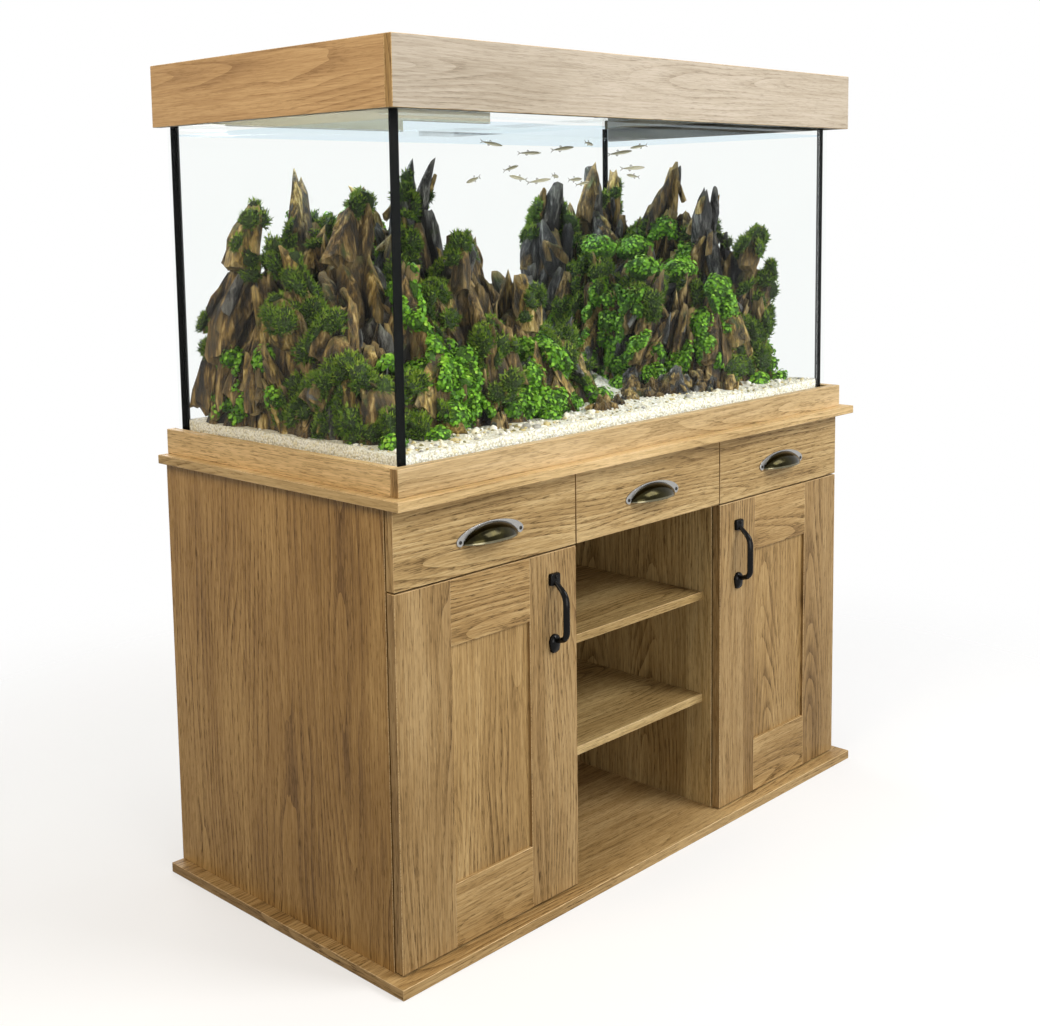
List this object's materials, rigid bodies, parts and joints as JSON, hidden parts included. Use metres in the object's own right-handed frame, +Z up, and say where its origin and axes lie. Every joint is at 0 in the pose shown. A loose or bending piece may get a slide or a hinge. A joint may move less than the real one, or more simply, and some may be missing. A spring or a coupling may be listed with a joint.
{
  "type": "aquarium on stand",
  "caption": "Planted glass aquarium under an oak-effect hood with a lift-up lid, on a matching cabinet with sliding drawers, shaker doors and an open shelf bay.",
  "frame": {"origin": "centre of the base board's underside, on the floor", "axes": "+X to the right seen from the front, the doors face -Y, +Z up"},
  "size_m": [1.332, 0.6555, 1.49],
  "materials": {
    "oak": "oak-effect laminate, satin",
    "drawer_board": "pale board, satin",
    "hardboard": "thin board, matt",
    "clear_glass": "clear float glass, polished edges",
    "black_silicone": "black silicone, satin",
    "grey_foam": "closed-cell foam, matt",
    "pale_gravel": "washed gravel",
    "brown_stone": "weathered stone",
    "green_plants": "living leaves",
    "zinc_steel": "zinc plated",
    "aged_bronze": "antique bronze with a nickel plate",
    "black_iron": "black painted iron",
    "opal_plastic": "opal diffuser",
    "cap_plastic": "moulded plastic"
  },
  "bodies": {
    "cabinet": {"base_board": "oak", "left_end_panel": "oak", "right_end_panel": "oak", "left_divider": "oak", "right_divider": "oak", "dust_boards": "oak", "back_panels": "hardboard", "top_board": "oak", "front_trim": "oak", "side_trims": "oak", "bay_shelves": "oak", "runner_channels": "zinc_steel", "hinge_arms": "zinc_steel", "foam_mat": "grey_foam", "base_glass": "clear_glass", "front_glass": "clear_glass", "back_glass": "clear_glass", "left_glass": "clear_glass", "right_glass": "clear_glass", "silicone_joints": "black_silicone", "glass_braces": "clear_glass", "gravel_bed": "pale_gravel", "ridge_rocks": "brown_stone", "cliff_rocks": "brown_stone", "loose_stones": "brown_stone", "plant_mounds": "green_plants", "hood_front": "oak", "hood_left_side": "oak", "hood_right_side": "oak", "hood_back": "oak", "hood_rear_top": "oak", "hood_strips": "drawer_board", "lid_hinge_fixed_leaves": "zinc_steel", "light_bars": "zinc_steel", "light_diffusers": "opal_plastic", "light_end_caps": "cap_plastic", "light_hangers": "cap_plastic"},
    "lid": {"hood_lid": "oak", "lid_hinge_moving_leaves": "zinc_steel"},
    "left_drawer": {"left_drawer_front": "oak", "left_drawer_box": "drawer_board", "left_drawer_rails": "zinc_steel", "left_cup_pull": "aged_bronze"},
    "centre_drawer": {"centre_drawer_front": "oak", "centre_drawer_box": "drawer_board", "centre_drawer_rails": "zinc_steel", "centre_cup_pull": "aged_bronze"},
    "right_drawer": {"right_drawer_front": "oak", "right_drawer_box": "drawer_board", "right_drawer_rails": "zinc_steel", "right_cup_pull": "aged_bronze"},
    "left_door": {"left_door_frame": "oak", "left_door_panel": "oak", "left_door_handle": "black_iron", "left_hinge_cups": "zinc_steel"},
    "right_door": {"right_door_frame": "oak", "right_door_panel": "oak", "right_door_handle": "black_iron", "right_hinge_cups": "zinc_steel"}
  },
  "joints": [
    {"name": "left_drawer_slide", "type": "slide", "parent": "cabinet", "child": "left_drawer", "axis": [0, -1, 0], "range_m": [0, 0.33]},
    {"name": "centre_drawer_slide", "type": "slide", "parent": "cabinet", "child": "centre_drawer", "axis": [0, -1, 0], "range_m": [0, 0.33]},
    {"name": "right_drawer_slide", "type": "slide", "parent": "cabinet", "child": "right_drawer", "axis": [0, -1, 0], "range_m": [0, 0.33]},
    {"name": "left_door_hinge", "type": "hinge", "parent": "cabinet", "child": "left_door", "pos_m": [-0.634, -0.286, 0.3315], "axis": [0, 0, -1], "range_deg": [0, 95]},
    {"name": "right_door_hinge", "type": "hinge", "parent": "cabinet", "child": "right_door", "pos_m": [0.634, -0.286, 0.3315], "axis": [0, 0, 1], "range_deg": [0, 95]},
    {"name": "lid_hinge", "type": "hinge", "parent": "cabinet", "child": "lid", "pos_m": [0, 0.149, 1.48655], "axis": [-1, 0, 0], "range_deg": [0, 100]}
  ]
}
